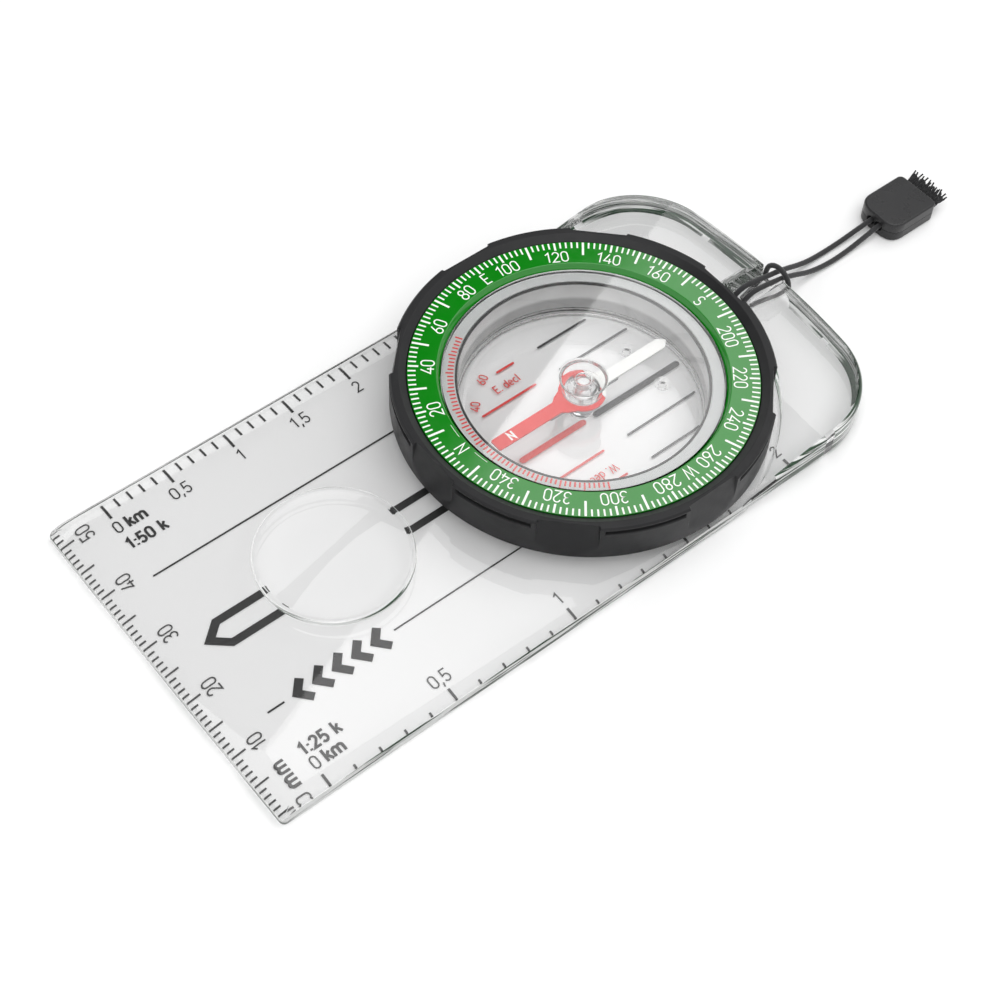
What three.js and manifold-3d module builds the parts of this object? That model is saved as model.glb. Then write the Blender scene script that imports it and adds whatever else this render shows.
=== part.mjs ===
// Baseplate compass, in millimetres, +Z up.
// The long axis of the plate is Y: the travel arrow points to -Y and the lanyard leaves at +Y.
// The underside of the plate lies in z = 0 and the plate is centred on x = 0 and y = 0.
import * as THREE from 'three';
import { mergeVertices } from 'three/addons/utils/BufferGeometryUtils.js';
import Module from 'manifold-3d';

const wasm = await Module();
wasm.setup();

// Plate
const PLATE_HALF_W = 27.1;
const PLATE_HALF_L = 54.1;
const PLATE_T = 3.0;
const PLATE_EDGE_T = 2.1;
const PLATE_FRONT_T = 1.3;
const REAR_BULGE = 0.9;
const REAR_CORNER_R = 13.0;
const FRONT_CORNER_R = 0.8;
const SIDE_BEVEL_W = 2.6;
const FRONT_BEVEL_W = 3.6;
const SIDE_BEVEL_END_Y = 24.0;
const REAR_T = 5.6;
const RAMP_START_Y = 24.0;
const RAMP_END_Y = 44.0;
const POCKET_R = 28.2;
const CORD_NOTCH_HALF_W = 1.9;
const SEAT_R = 20.3;
const COUNTERBORE_R = 21.5;
const COUNTERBORE_DEPTH = 1.2;
const LENS_Y = -26.4;
const LENS_R = 10.6;
const LENS_STEP = 0.5;
const LENS_CROWN = 1.55;
const CORD_HOLE_Y = 46.0;
const CORD_HOLE_R = 2.0;
const RELIEF_HALF_W = 5.0;
const RELIEF_DEPTH = 1.3;

// Housing, turned about a vertical axis at HOUSING_Y
const HOUSING_Y = 16.8;
const RING_SEGMENTS = 64;
const BEZEL_R = 27.1;
const BEZEL_BOTTOM = 3.3;
const BEZEL_TOP = 10.0;
const BEZEL_BORE_R = 20.3;
const DIAL_LIP_R = 24.75;
const DIAL_SEAT_Z = 8.3;
const GRIPS = 8;
const GRIP_HALF_W = 4.2;
const DIAL_IN_R = 20.0;
const DIAL_OUT_R = 24.6;
const DIAL_BOTTOM_Z = 8.35;
const DIAL_TOP_Z = 9.4;
const CAPSULE_R = 19.9;
const CAPSULE_FLOOR_Z = 0.3;
const CAPSULE_FLOOR_T = 0.6;
const CAPSULE_RIM_Z = 7.4;
const CAPSULE_BORE_R = 17.6;
const COVER_R = 19.85;
const COVER_BOTTOM_Z = 7.95;
const COVER_TOP_Z = 8.75;
const BOSS_R = 3.1;
const BOSS_Z = 6.9;
const PLUG_X = 3.9;
const PLUG_Y = 12.2;

// Needle
const NEEDLE_Z = 4.5;
const NEEDLE_T = 0.3;
const NEEDLE_HALF_W = 1.05;
const NEEDLE_NORTH = 15.7;
const NEEDLE_SOUTH = 15.8;
const EYE_OUT_R = 3.4;
const EYE_IN_R = 2.3;

// Lanyard
const CORD_D = 0.8;
const JOINER_HALF_W = 3.9;
const JOINER_FRONT_Y = 76.2;
const JOINER_REAR_Y = 85.7;
const JOINER_H = 3.4;
const JOINER_GROOVE = 0.3;
const JOINER_NOSE_HALF_W = 1.4;
const JOINER_NOSE_L = 2.6;
const CORD_EXIT_X = 0.8;
const CORD_EXIT_Z = 1.7;
const RIBBON_HALF_W = 3.1;
const RIBBON_T = 0.8;
const RIBBON_END_Y = 88.7;

const part = new THREE.Group();
part.name = 'baseplate_compass';

// A closed body with merged corners and its faces turned outward.
function closed(geometry) {
  geometry.deleteAttribute('normal');
  geometry.deleteAttribute('uv');
  const merged = mergeVertices(geometry, 1e-4);
  const pos = merged.attributes.position;
  const index = Array.from(merged.index.array);
  const kept = [];
  for (let i = 0; i < index.length; i += 3) {
    const [a, b, c] = index.slice(i, i + 3);
    if (a !== b && b !== c && c !== a) kept.push(a, b, c);
  }
  const corner = (i) => new THREE.Vector3().fromBufferAttribute(pos, i);
  let volume = 0;
  for (let i = 0; i < kept.length; i += 3) {
    const a = corner(kept[i]);
    const b = corner(kept[i + 1]);
    const c = corner(kept[i + 2]);
    volume += a.dot(b.cross(c));
  }
  if (volume < 0) kept.reverse();
  merged.setIndex(kept);
  return merged;
}

function toManifold(geometry) {
  const body = closed(geometry);
  const mesh = new wasm.Mesh({
    numProp: 3,
    vertProperties: new Float32Array(body.attributes.position.array),
    triVerts: new Uint32Array(body.index.array),
  });
  return new wasm.Manifold(mesh);
}

function fromManifold(solid) {
  const mesh = solid.getMesh();
  const geometry = new THREE.BufferGeometry();
  geometry.setAttribute('position', new THREE.BufferAttribute(mesh.vertProperties, 3));
  geometry.setIndex(new THREE.BufferAttribute(mesh.triVerts, 1));
  return geometry;
}

function cut(geometry, tools) {
  let body = toManifold(geometry);
  for (const tool of tools) body = body.subtract(toManifold(tool));
  return fromManifold(body);
}

function join(first, others) {
  let body = toManifold(first);
  for (const other of others) body = body.add(toManifold(other));
  return fromManifold(body);
}

function addNode(name, geometry, colour, metalness = 0, roughness = 0.5) {
  const body = closed(geometry.index ? geometry.toNonIndexed() : geometry);
  body.computeVertexNormals();
  const material = new THREE.MeshStandardMaterial({ color: colour, metalness, roughness });
  material.name = name;
  const mesh = new THREE.Mesh(body, material);
  mesh.name = name;
  part.add(mesh);
}

// A profile of [radius, height] pairs turned about a vertical axis at (x, y).
function turned(profile, x, y, segments = RING_SEGMENTS) {
  const points = profile.map(([r, z]) => new THREE.Vector2(r, z));
  const geometry = new THREE.LatheGeometry(points, segments);
  geometry.rotateX(Math.PI / 2);
  geometry.translate(x, y, 0);
  return geometry;
}

function ring(profile, x, y, segments = RING_SEGMENTS) {
  return turned([...profile, profile[0]], x, y, segments);
}

function box(x0, x1, y0, y1, z0, z1) {
  const geometry = new THREE.BoxGeometry(x1 - x0, y1 - y0, z1 - z0);
  geometry.translate((x0 + x1) / 2, (y0 + y1) / 2, (z0 + z1) / 2);
  return geometry;
}

function post(x, y, z0, z1, r, segments = 32) {
  const geometry = new THREE.CylinderGeometry(r, r, z1 - z0, segments);
  geometry.rotateX(Math.PI / 2);
  geometry.translate(x, y, (z0 + z1) / 2);
  return geometry;
}

function slab(shape, z0, z1, curveSegments = 16) {
  const geometry = new THREE.ExtrudeGeometry(shape, {
    depth: z1 - z0,
    bevelEnabled: false,
    curveSegments,
  });
  geometry.translate(0, 0, z0);
  return geometry;
}

// A prism whose [across, height] section is swept between two places along the other level axis.
function prism(section, alongY, from, to) {
  const shape = new THREE.Shape(section.map(([a, z]) => new THREE.Vector2(a, z)));
  const geometry = new THREE.ExtrudeGeometry(shape, { depth: to - from, bevelEnabled: false });
  geometry.rotateX(Math.PI / 2);
  geometry.translate(0, to, 0);
  if (!alongY) geometry.rotateZ(-Math.PI / 2);
  return geometry;
}

function plateOutline() {
  const w = PLATE_HALF_W;
  const l = PLATE_HALF_L;
  const r = REAR_CORNER_R;
  const f = FRONT_CORNER_R;
  const shape = new THREE.Shape();
  shape.moveTo(-w + f, -l);
  shape.lineTo(w - f, -l);
  shape.quadraticCurveTo(w, -l, w, -l + f);
  shape.lineTo(w, l - REAR_BULGE - r);
  shape.absarc(w - r, l - REAR_BULGE - r, r, 0, (Math.PI * 80) / 180, false);
  const start = w - r + r * Math.cos((Math.PI * 80) / 180);
  const height = l - REAR_BULGE - r + r * Math.sin((Math.PI * 80) / 180);
  shape.quadraticCurveTo(0, 2 * l - height, -start, height);
  shape.absarc(-w + r, l - REAR_BULGE - r, r, (Math.PI * 100) / 180, Math.PI, false);
  shape.lineTo(-w, -l + f);
  shape.quadraticCurveTo(-w, -l, -w + f, -l);
  return shape;
}

function magnifier() {
  const top = PLATE_T + LENS_STEP;
  const rise = LENS_CROWN - LENS_STEP;
  const rim = LENS_R - 0.5;
  const profile = [[0, PLATE_T - 0.6], [LENS_R, PLATE_T - 0.6], [LENS_R, top]];
  const steps = 6;
  for (let i = 0; i <= steps; i += 1) {
    const r = rim * (1 - i / steps);
    profile.push([r, top + rise * (1 - (r / rim) ** 2)]);
  }
  return turned(profile, 0, LENS_Y, 64);
}

// Thin rim that stands round the lens.
function magnifierCollar() {
  const r = LENS_R;
  const low = PLATE_T - 0.5;
  return ring([[r - 0.3, low], [r + 0.5, low], [r + 0.3, PLATE_T + 0.35], [r - 0.3, PLATE_T + 0.6]],
    0, LENS_Y, 64);
}

// The thick rear of the plate: its top ramps up behind the ruled length, with a pocket for the
// housing and a notch where the lanyard leaves it.
function rearGrip() {
  const over = 2;
  const floor = PLATE_T - 0.1;
  const ramp = [];
  for (let i = 0; i <= 8; i += 1) {
    const t = i / 8;
    const rise = (REAR_T - PLATE_T) * t * t * (3 - 2 * t);
    ramp.push([-(RAMP_START_Y + (RAMP_END_Y - RAMP_START_Y) * t), PLATE_T + rise]);
  }
  const above = [[-RAMP_START_Y + over, PLATE_T], ...ramp, [-RAMP_END_Y - 0.01, REAR_T + over],
    [-RAMP_START_Y + over, REAR_T + over]];
  const w = CORD_NOTCH_HALF_W;
  return cut(slab(plateOutline(), PLATE_T - 1, REAR_T), [
    box(-40, 40, -60, SIDE_BEVEL_END_Y, 0, 10),
    prism(above, false, -40, 40),
    post(0, HOUSING_Y, floor, REAR_T + over, POCKET_R, RING_SEGMENTS),
    box(-w, w, CORD_HOLE_Y - 4, PLATE_HALF_L + over, floor, REAR_T + over),
  ]);
}

function baseplate() {
  const over = 2;
  const w = PLATE_HALF_W;
  const plate = slab(plateOutline(), 0, PLATE_T);
  const side = [[w - SIDE_BEVEL_W, PLATE_T + 0.001], [w + over, PLATE_T + 0.001],
    [w + over, PLATE_EDGE_T - 0.96], [w, PLATE_EDGE_T]];
  const mirrored = side.map(([x, z]) => [-x, z]).reverse();
  const l = PLATE_HALF_L;
  const front = [[l - FRONT_BEVEL_W, PLATE_T + 0.001], [l + over, PLATE_T + 0.001],
    [l + over, PLATE_FRONT_T - 0.94], [l, PLATE_FRONT_T]];
  const channel = box(-RELIEF_HALF_W, RELIEF_HALF_W, CORD_HOLE_Y - 0.6, l + over, -1, RELIEF_DEPTH);
  const blank = join(cut(plate, [
    prism(side, true, -l - over, SIDE_BEVEL_END_Y),
    prism(mirrored, true, -l - over, SIDE_BEVEL_END_Y),
    prism(front, false, -w - over, w + over),
  ]), [magnifier(), magnifierCollar(), rearGrip()]);
  return cut(blank, [
    post(0, HOUSING_Y, -1, REAR_T + 1, SEAT_R, RING_SEGMENTS),
    post(0, HOUSING_Y, -1, COUNTERBORE_DEPTH, COUNTERBORE_R, RING_SEGMENTS),
    post(0, CORD_HOLE_Y, -1, REAR_T + 1, CORD_HOLE_R, 32),
    channel,
  ]);
}

// A flat-bottomed scoop for a fingertip, cut across the bezel's outer wall.
function gripScoop(angle) {
  const section = [[26.14, 10.4], [29.5, 10.4], [29.5, 3.4], [27.14, 3.4]];
  const tool = prism(section, true, -GRIP_HALF_W, GRIP_HALF_W);
  tool.rotateZ(angle);
  tool.translate(0, HOUSING_Y, 0);
  return tool;
}

function bezelRing() {
  const profile = [
    [BEZEL_BORE_R, BEZEL_BOTTOM], [22.2, BEZEL_BOTTOM], [22.2, 6.6], [25.4, 6.6],
    [25.4, BEZEL_BOTTOM], [BEZEL_R - 0.25, BEZEL_BOTTOM], [BEZEL_R, 3.6], [BEZEL_R, 9.65],
    [BEZEL_R - 0.25, BEZEL_TOP], [25.8, BEZEL_TOP], [DIAL_LIP_R, 9.3],
    [DIAL_LIP_R, DIAL_SEAT_Z], [BEZEL_BORE_R, DIAL_SEAT_Z],
  ];
  const tools = [];
  for (let i = 0; i < GRIPS; i += 1) tools.push(gripScoop((i * 2 * Math.PI) / GRIPS));
  return cut(ring(profile, 0, HOUSING_Y), tools);
}

// Level ring that carries the figures, sloped down to the window along its inner edge.
function dialRing() {
  const profile = [
    [DIAL_IN_R, DIAL_BOTTOM_Z], [DIAL_OUT_R, DIAL_BOTTOM_Z],
    [DIAL_OUT_R, DIAL_TOP_Z], [DIAL_IN_R + 0.5, DIAL_TOP_Z], [DIAL_IN_R, 8.6],
  ];
  return ring(profile, 0, HOUSING_Y);
}

function capsuleBase() {
  const floor = CAPSULE_FLOOR_Z + CAPSULE_FLOOR_T;
  const profile = [
    [0, CAPSULE_FLOOR_Z], [19.2, CAPSULE_FLOOR_Z], [19.2, 1.2], [CAPSULE_R, 1.2],
    [CAPSULE_R, CAPSULE_RIM_Z], [CAPSULE_BORE_R, CAPSULE_RIM_Z], [CAPSULE_BORE_R, floor + 1.2],
    [CAPSULE_BORE_R - 0.5, floor + 0.3], [CAPSULE_BORE_R - 1.3, floor], [1.8, floor],
    [1.5, 2.0], [0.62, 2.0], [0.62, 1.1], [0, 1.1],
  ];
  return cut(turned(profile, 0, HOUSING_Y), [
    post(-PLUG_X, HOUSING_Y + PLUG_Y, -1, 2, 0.9, 20),
    post(PLUG_X, HOUSING_Y + PLUG_Y, -1, 2, 0.9, 20),
  ]);
}

// The flat clear window, with the boss that keeps the needle's jewel on its point.
function capsuleCover() {
  return turned([
    [0, COVER_TOP_Z], [COVER_R, COVER_TOP_Z], [COVER_R, COVER_BOTTOM_Z],
    [BOSS_R + 0.2, COVER_BOTTOM_Z], [BOSS_R, BOSS_Z], [1.15, BOSS_Z], [1.15, 7.6], [0, 7.6],
  ], 0, HOUSING_Y);
}

function capsuleSeal() {
  return ring([[17.65, 7.5], [17.95, 7.5], [17.95, 7.85], [17.65, 7.85]], 0, HOUSING_Y);
}

// Thin ring between the capsule's rim and the window, printed with the declination scale.
function declinationRing() {
  return ring([[18.05, 7.5], [19.7, 7.5], [19.7, 7.85], [18.05, 7.85]], 0, HOUSING_Y);
}

function retainingRing() {
  const body = ring([[19.5, 0.3], [21.1, 0.3], [21.2, 0.5], [21.2, 0.9], [19.5, 0.9]], 0, HOUSING_Y);
  return cut(body, [box(-1.2, 1.2, HOUSING_Y - 25, HOUSING_Y - 15, 0, 2)]);
}

function frictionSpring() {
  const points = [];
  const waves = 6;
  for (let i = 0; i < 48; i += 1) {
    const a = (i * 2 * Math.PI) / 48;
    const z = 4.9 + 1.05 * Math.cos(waves * a);
    points.push(new THREE.Vector3(23.8 * Math.cos(a), 23.8 * Math.sin(a) + HOUSING_Y, z));
  }
  const path = new THREE.CatmullRomCurve3(points, true, 'centripetal');
  return new THREE.TubeGeometry(path, 72, 0.3, 6, true);
}

function floorPlug(x) {
  return turned([
    [0, CAPSULE_FLOOR_Z], [0.6, CAPSULE_FLOOR_Z], [0.6, 1.2], [1.3, 1.2], [1.2, 1.5], [0, 1.5],
  ], x, HOUSING_Y + PLUG_Y, 20);
}

function pivotPin() {
  return turned([[0, 1.4], [0.3, 1.4], [0.3, 5.1], [0, 5.7]], 0, HOUSING_Y, 20);
}

function needleJewel() {
  return turned([
    [0, 6.6], [0.8, 6.6], [0.95, 6.4], [0.95, 5.2], [0.64, 5.2], [0.34, 5.85], [0, 6.05],
  ], 0, HOUSING_Y, 28);
}

function needleHub() {
  return ring([
    [1.25, 4.2], [1.95, 4.2], [1.95, 5.1], [2.9, 5.1], [2.9, 5.5], [1.9, 6.0], [1.25, 6.0],
  ], 0, HOUSING_Y, 48);
}

function needleMagnet() {
  const shape = new THREE.Shape();
  const half = 6.2;
  shape.moveTo(-0.8, -half);
  shape.lineTo(0.8, -half);
  shape.lineTo(0.8, half);
  shape.lineTo(-0.8, half);
  shape.closePath();
  const bar = slab(shape, 3.6, 4.2);
  const eye = post(0, 0, 3.6, 4.2, 3.1, 40);
  const body = cut(join(bar, [eye]), [post(0, 0, 3, 5, EYE_IN_R, 40)]);
  body.translate(0, HOUSING_Y, 0);
  return body;
}

// The pointer: a painted strip with an eye round the hub, blunt at the north end.
function needleBlade() {
  const w = NEEDLE_HALF_W;
  const n = NEEDLE_NORTH;
  const s = NEEDLE_SOUTH;
  const strip = new THREE.Shape();
  strip.moveTo(-w + 0.15, -n);
  strip.lineTo(w - 0.15, -n);
  strip.lineTo(w, -n + 0.35);
  strip.lineTo(w, -4.2);
  strip.lineTo(2.7, -2.2);
  strip.lineTo(2.2, 1.6);
  strip.lineTo(w - 0.1, 3.4);
  strip.lineTo(w - 0.1, s - 1.0);
  strip.lineTo(0.15, s);
  strip.lineTo(-0.15, s);
  strip.lineTo(-w + 0.1, s - 1.0);
  strip.lineTo(-w + 0.1, 3.4);
  strip.lineTo(-2.2, 1.6);
  strip.lineTo(-2.7, -2.2);
  strip.lineTo(-w, -4.2);
  strip.lineTo(-w, -n + 0.35);
  strip.closePath();
  const z0 = NEEDLE_Z;
  const z1 = NEEDLE_Z + NEEDLE_T;
  const body = cut(join(slab(strip, z0, z1), [post(0, 0, z0, z1, EYE_OUT_R, 48)]),
    [post(0, 0, z0 - 1, z1 + 1, EYE_IN_R, 48)]);
  body.translate(0, HOUSING_Y, 0);
  return body;
}

// Half of the cord's way, from the joiner to the middle of the bight, at negative x.
const CORD_HALF = [
  [-0.8, 79.3, 1.7], [-0.8, 76.9, 1.66], [-0.9, 73.6, 1.2], [-1.0, 70.2, 0.66],
  [-1.05, 66.6, 0.48], [-1.0, 63.4, 0.78], [-0.95, 60.8, 1.5], [-0.85, 58.4, 2.5],
  [-0.75, 56.2, 3.35], [-0.7, 54.2, 3.85], [-0.72, 51.6, 4.45], [-0.78, 49.4, 4.75],
  [-0.84, 47.9, 4.35], [-0.86, 47.0, 3.4], [-0.84, 46.75, 2.3], [-0.82, 46.95, 1.35],
  [-0.88, 47.6, 0.72], [-1.05, 48.5, 0.52], [-1.6, 50.9, 0.52], [-2.15, 53.2, 0.52],
  [-2.32, 54.5, 0.76], [-2.36, 55.12, 1.35], [-2.38, 55.34, 2.1], [-2.36, 55.36, 2.7],
  [-2.05, 55.38, 3.85], [-1.2, 55.4, 4.72],
];

function lanyardCord() {
  const forth = CORD_HALF.map(([x, y, z]) => new THREE.Vector3(x, y, z));
  const back = CORD_HALF.map(([x, y, z]) => new THREE.Vector3(-x, y, z)).reverse();
  const points = [...forth, new THREE.Vector3(0, 55.4, 5.05), ...back];
  const path = new THREE.CatmullRomCurve3(points, false, 'centripetal');
  const circle = new THREE.Shape();
  const sides = 8;
  for (let i = 0; i < sides; i += 1) {
    const a = (i * 2 * Math.PI) / sides;
    const x = (CORD_D / 2) * Math.cos(a);
    const y = (CORD_D / 2) * Math.sin(a);
    if (i === 0) circle.moveTo(x, y);
    else circle.lineTo(x, y);
  }
  circle.closePath();
  return new THREE.ExtrudeGeometry(circle, { steps: 62, extrudePath: path, bevelEnabled: false });
}

function joinerOutline(inset) {
  const w = JOINER_HALF_W - inset;
  const y0 = JOINER_FRONT_Y + inset;
  const y1 = JOINER_REAR_Y - inset;
  const nose = JOINER_NOSE_HALF_W;
  const side = y0 + JOINER_NOSE_L;
  const shape = new THREE.Shape();
  shape.moveTo(-nose, y0);
  shape.lineTo(nose, y0);
  shape.quadraticCurveTo(w, y0 + 0.25, w, side);
  shape.lineTo(w, y1 - 0.9);
  shape.quadraticCurveTo(w, y1, w - 0.9, y1);
  shape.lineTo(-w + 0.9, y1);
  shape.quadraticCurveTo(-w, y1, -w, y1 - 0.9);
  shape.lineTo(-w, side);
  shape.quadraticCurveTo(-w, y0 + 0.25, -nose, y0);
  return shape;
}

// One half of the joiner: a slab with a rounded outer edge and the seats of cord and ribbon.
function joinerHalf(z0, z1, roundUp) {
  const inset = 0.35;
  const split = roundUp ? z1 - inset : z0 + inset;
  const low = slab(joinerOutline(roundUp ? 0 : inset), z0, split, 6);
  const high = slab(joinerOutline(roundUp ? inset : 0), split, z1, 6);
  const seats = [];
  for (const x of [-CORD_EXIT_X, CORD_EXIT_X]) {
    const bore = new THREE.CylinderGeometry(0.72, 0.72, 5.0, 20);
    bore.translate(x, JOINER_FRONT_Y + 1.7, CORD_EXIT_Z);
    seats.push(bore);
  }
  seats.push(box(-RIBBON_HALF_W - 0.3, RIBBON_HALF_W + 0.3, JOINER_REAR_Y - 3.8, 90, 1.0, 2.4));
  return cut(join(low, [high]), seats);
}

// The woven tape's stub, ending in a ragged cut.
function lanyardRibbon() {
  const w = RIBBON_HALF_W;
  const y = RIBBON_END_Y;
  const shape = new THREE.Shape();
  shape.moveTo(-w, JOINER_REAR_Y - 3.5);
  shape.lineTo(w, JOINER_REAR_Y - 3.5);
  const teeth = [[w, y - 0.2], [w - 0.7, y - 0.7], [w - 1.3, y], [w - 2.1, y - 0.5],
    [w - 2.9, y + 0.1], [w - 3.8, y - 0.6], [w - 4.6, y - 0.1], [w - 5.4, y - 0.7], [-w, y - 0.3]];
  for (const [tx, ty] of teeth) shape.lineTo(tx, ty);
  shape.closePath();
  return slab(shape, CORD_EXIT_Z - RIBBON_T / 2, CORD_EXIT_Z + RIBBON_T / 2);
}

const CLEAR = 0xdfe6e6;
const BLACK = 0x2b2b2c;

addNode('baseplate', baseplate(), CLEAR, 0, 0.1);
addNode('friction_spring', frictionSpring(), 0xb0b2b4, 1, 0.3);
addNode('bezel_ring', bezelRing(), BLACK, 0, 0.6);
addNode('dial_ring', dialRing(), 0x0a7a1c, 0, 0.3);
addNode('capsule_base', capsuleBase(), CLEAR, 0, 0.1);
addNode('capsule_cover', capsuleCover(), CLEAR, 0, 0.05);
addNode('capsule_seal', capsuleSeal(), 0x3a3a3a, 0, 0.8);
addNode('declination_ring', declinationRing(), 0xe9ecec, 0, 0.1);
addNode('retaining_ring', retainingRing(), BLACK, 0, 0.6);
addNode('fill_plug', floorPlug(-PLUG_X), 0xf0f0f0, 0, 0.4);
addNode('vent_plug', floorPlug(PLUG_X), 0xf0f0f0, 0, 0.4);
addNode('pivot_pin', pivotPin(), 0xc8c8c8, 1, 0.25);
addNode('needle_blade', needleBlade(), 0xd01414, 0, 0.4);
addNode('needle_magnet', needleMagnet(), 0x6a6c70, 1, 0.4);
addNode('needle_hub', needleHub(), 0xf2f2ee, 0, 0.2);
addNode('needle_jewel', needleJewel(), 0xc23a5a, 0, 0.1);
addNode('lanyard_cord', lanyardCord(), 0x1e1e1f, 0, 0.9);
addNode('joiner_base', joinerHalf(0, (JOINER_H - JOINER_GROOVE) / 2, false), BLACK, 0, 0.5);
addNode('joiner_lid', joinerHalf((JOINER_H + JOINER_GROOVE) / 2, JOINER_H, true), BLACK, 0, 0.5);
addNode('lanyard_ribbon', lanyardRibbon(), 0x1a1a1a, 0, 0.95);

export default part;
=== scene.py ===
"""Baseplate compass: the looks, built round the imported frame. Metres, +Z up."""
from math import asin, atan2, cos, degrees, hypot, pi, radians, sin, sqrt, tan

import bmesh
import bpy
from mathutils import Matrix, Vector


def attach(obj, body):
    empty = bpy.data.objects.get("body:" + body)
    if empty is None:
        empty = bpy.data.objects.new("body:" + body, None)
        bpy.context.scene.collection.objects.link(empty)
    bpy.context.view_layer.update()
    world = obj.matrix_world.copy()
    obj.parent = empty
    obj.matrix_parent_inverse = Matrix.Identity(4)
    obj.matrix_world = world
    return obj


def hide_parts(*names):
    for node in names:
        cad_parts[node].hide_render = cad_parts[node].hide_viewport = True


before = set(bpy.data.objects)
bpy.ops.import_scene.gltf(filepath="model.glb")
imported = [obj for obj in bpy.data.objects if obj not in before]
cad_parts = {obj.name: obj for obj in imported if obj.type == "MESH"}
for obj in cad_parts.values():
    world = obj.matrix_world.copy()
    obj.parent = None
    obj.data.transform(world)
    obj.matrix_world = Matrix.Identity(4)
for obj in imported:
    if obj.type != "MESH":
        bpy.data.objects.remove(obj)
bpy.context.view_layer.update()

# Lengths below are millimetres unless a line says otherwise.
MM = 0.001
HOUSING_Y = 16.8           # the housing's axis
LENS_Y = -26.4
PLATE_T = 3.0
REAR_T = 5.6               # the plate behind the housing is a thick grip
RAMP_Y, RAMP_LENGTH = 24.0, 20.0
CORNER_R, BULGE = 13.0, 0.9    # the rear corners, and the bow of the rear edge
POCKET_R = 28.2            # the hollow round the housing
HALF_W, HALF_L = 27.1, 54.1
DIAL_Z = 9.4
ROUND = 256                # segments of a large turned part

# The camera: degrees round the object, above it and of roll; its place in metres; its lens.
VIEW_AROUND, VIEW_ABOVE, VIEW_ROLL = 48.02, 54.19, -3.6
VIEW_FROM = (0.12383, -0.10852, 0.22133)
LENS, SENSOR = 71.03, 36.0


def place(name, data):
    """A new object in the scene."""
    obj = bpy.data.objects.new(name, data)
    bpy.context.scene.collection.objects.link(obj)
    return obj


# ---- camera
def make_camera():
    az, el, roll = (radians(a) for a in (VIEW_AROUND, VIEW_ABOVE, VIEW_ROLL))
    back = Vector((sin(az) * cos(el), -cos(az) * cos(el), sin(el)))
    right = (-back).cross(Vector((0, 0, 1))).normalized()
    down = (-back).cross(right)
    x = cos(roll) * right + sin(roll) * down
    y = -sin(roll) * right + cos(roll) * down
    data = bpy.data.cameras.new("camera")
    data.lens, data.sensor_width = LENS, SENSOR
    data.clip_start, data.clip_end = 0.01, 20.0
    cam = place("camera", data)
    rot = Matrix((x, -y, back)).transposed()
    cam.matrix_world = Matrix.Translation(Vector(VIEW_FROM)) @ rot.to_4x4()
    bpy.context.scene.camera = cam


# ---- materials
def fill(node, **values):
    """Set inputs of a node; an underscore stands for a space in the input's name."""
    for name, value in values.items():
        node.inputs[name.replace("_", " ")].default_value = value


class Look:
    """One material's nodes, with short ways to add what the looks here are made of."""

    def __init__(self, name):
        self.mat = bpy.data.materials.new(name)
        self.mat.use_nodes = True
        self.nodes, self.link = self.mat.node_tree.nodes, self.mat.node_tree.links.new
        self.shader = self.nodes["Principled BSDF"]

    def set(self, **values):
        fill(self.shader, **values)

    def feed(self, name, socket):
        self.link(socket, self.shader.inputs[name])

    def place(self, axis=None):
        """Where a point lies on the object, or how far along one axis."""
        where = self.nodes.new("ShaderNodeTexCoord").outputs["Object"]
        if axis is None:
            return where
        split = self.nodes.new("ShaderNodeSeparateXYZ")
        self.link(where, split.inputs["Vector"])
        return split.outputs[axis]

    def noise(self, scale, detail=4.0, stretch=None):
        source = self.place()
        tex = self.nodes.new("ShaderNodeTexNoise")
        fill(tex, Scale=scale, Detail=detail)
        if stretch:
            mapping = self.nodes.new("ShaderNodeMapping")
            fill(mapping, Scale=stretch)
            self.link(source, mapping.inputs["Vector"])
            source = mapping.outputs["Vector"]
        self.link(source, tex.inputs["Vector"])
        return tex.outputs["Fac"]

    def ramp(self, fac, low, high, lo=0.3, hi=0.7):
        node = self.nodes.new("ShaderNodeMapRange")
        fill(node, From_Min=lo, From_Max=hi, To_Min=low, To_Max=high)
        self.link(fac, node.inputs["Value"])
        return node.outputs["Result"]

    def combine(self, operation, a, b):
        node = self.nodes.new("ShaderNodeMath")
        node.operation = operation
        self.link(a, node.inputs[0])
        self.link(b, node.inputs[1])
        return node.outputs["Value"]

    def mix(self, fac, a, b):
        node = self.nodes.new("ShaderNodeMix")
        node.data_type = "RGBA"
        fill(node, A=(*a, 1), B=(*b, 1))
        self.link(fac, node.inputs["Factor"])
        return node.outputs["Result"]

    def colour(self, scale, dark, light, detail=4.0):
        """Base colour drifting between two shades."""
        self.feed("Base Color", self.mix(self.noise(scale, detail), dark, light))

    def rough(self, scale, low, high, detail=4.0, stretch=None):
        self.feed("Roughness", self.ramp(self.noise(scale, detail, stretch), low, high))

    def bump(self, scale, strength, distance, detail=4.0):
        node = self.nodes.new("ShaderNodeBump")
        fill(node, Strength=strength, Distance=distance)
        self.link(self.noise(scale, detail), node.inputs["Height"])
        self.feed("Normal", node.outputs["Normal"])


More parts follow.
